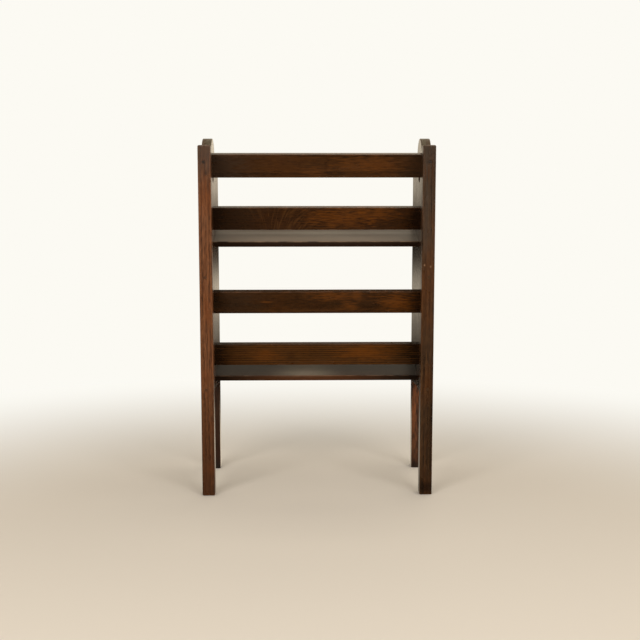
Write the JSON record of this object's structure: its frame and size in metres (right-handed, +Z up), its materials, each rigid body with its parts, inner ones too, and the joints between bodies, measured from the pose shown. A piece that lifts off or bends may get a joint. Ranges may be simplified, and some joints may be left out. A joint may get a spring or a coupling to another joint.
{
  "type": "book trough",
  "caption": "Dark oak book trough: shaped side panels with rounded crests and pierced hand holds, square front posts, and tilted seats with slatted backs set one above the other.",
  "frame": {"origin": "on the floor, at the middle of the outline seen from above", "axes": "+Z up, +X to the right seen from the slat side, -Y towards the slat side with the posts, +Y towards the side that the books are put in from"},
  "size_m": [0.457, 0.229, 0.706],
  "materials": {
    "post_oak": "dark stained oak, satin, open straight grain",
    "side_oak": "dark stained oak, semi-gloss on the broad faces",
    "slat_oak": "dark stained oak, satin, grain along the slat",
    "seat_oak": "dark stained oak, semi-gloss top face",
    "pin_oak": "dark end grain, flush with the post"
  },
  "bodies": {
    "root": {"left_side_panel": "side_oak", "right_side_panel": "side_oak", "left_post": "post_oak", "right_post": "post_oak", "upper_top_slat": "slat_oak", "upper_bottom_slat": "slat_oak", "lower_top_slat": "slat_oak", "lower_bottom_slat": "slat_oak", "upper_seat": "seat_oak", "lower_seat": "seat_oak", "post_pins": "pin_oak"}
  },
  "joints": []
}
